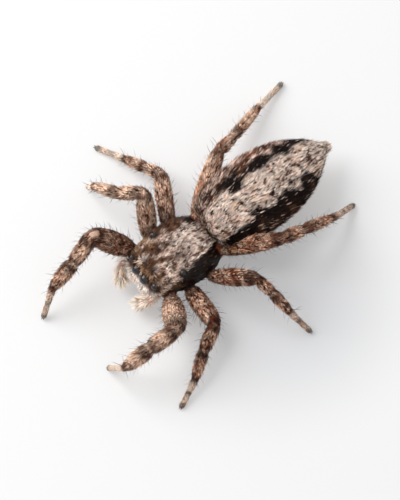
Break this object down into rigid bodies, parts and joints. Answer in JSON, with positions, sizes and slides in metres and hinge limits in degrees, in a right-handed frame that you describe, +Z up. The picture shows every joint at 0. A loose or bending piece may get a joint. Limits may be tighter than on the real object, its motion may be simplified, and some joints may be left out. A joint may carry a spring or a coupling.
{
  "type": "jumping spider",
  "caption": "Life-size still model of a tan jumping spider standing with its legs spread, flat mottled body and hairy legs.",
  "frame": {"origin": "on the floor, under the middle of the whole animal's bounding box", "axes": "+Z up, the head faces -Y, the animal's left side is +X"},
  "size_m": [0.015, 0.0178, 0.0037],
  "materials": {
    "body_coat": "short flat scale-like hairs, pale grey-cream down the back, black-brown along the sides",
    "leg_coat": "mottled cream and dark brown hairs with scattered dark bristles",
    "foot_coat": "thin pale hairs over orange-brown, with a dark tuft at the tip",
    "palp_coat": "long cream hairs",
    "underside": "brown cuticle with thin hairs",
    "jaw": "glossy dark brown cuticle",
    "eye": "glossy black lens"
  },
  "bodies": {
    "root": {"carapace": "body_coat", "abdomen": "body_coat", "sternum": "underside", "pedicel": "underside", "mouthparts": "underside", "spinnerets": "underside", "chelicera_l": "jaw", "palp_l": "palp_coat", "eye_ame_l": "eye", "eye_ale_l": "eye", "eye_pme_l": "eye", "eye_ple_l": "eye", "leg_l1_coxa": "underside", "leg_l1_femur": "leg_coat", "leg_l1_patella": "leg_coat", "leg_l1_tibia": "leg_coat", "leg_l1_foot": "foot_coat", "leg_l2_coxa": "underside", "leg_l2_femur": "leg_coat", "leg_l2_patella": "leg_coat", "leg_l2_tibia": "leg_coat", "leg_l2_foot": "foot_coat", "leg_l3_coxa": "underside", "leg_l3_femur": "leg_coat", "leg_l3_patella": "leg_coat", "leg_l3_tibia": "leg_coat", "leg_l3_foot": "foot_coat", "leg_l4_coxa": "underside", "leg_l4_femur": "leg_coat", "leg_l4_patella": "leg_coat", "leg_l4_tibia": "leg_coat", "leg_l4_foot": "foot_coat", "chelicera_r": "jaw", "palp_r": "palp_coat", "eye_ame_r": "eye", "eye_ale_r": "eye", "eye_pme_r": "eye", "eye_ple_r": "eye", "leg_r1_coxa": "underside", "leg_r1_femur": "leg_coat", "leg_r1_patella": "leg_coat", "leg_r1_tibia": "leg_coat", "leg_r1_foot": "foot_coat", "leg_r2_coxa": "underside", "leg_r2_femur": "leg_coat", "leg_r2_patella": "leg_coat", "leg_r2_tibia": "leg_coat", "leg_r2_foot": "foot_coat", "leg_r3_coxa": "underside", "leg_r3_femur": "leg_coat", "leg_r3_patella": "leg_coat", "leg_r3_tibia": "leg_coat", "leg_r3_foot": "foot_coat", "leg_r4_coxa": "underside", "leg_r4_femur": "leg_coat", "leg_r4_patella": "leg_coat", "leg_r4_tibia": "leg_coat", "leg_r4_foot": "foot_coat"}
  },
  "joints": []
}
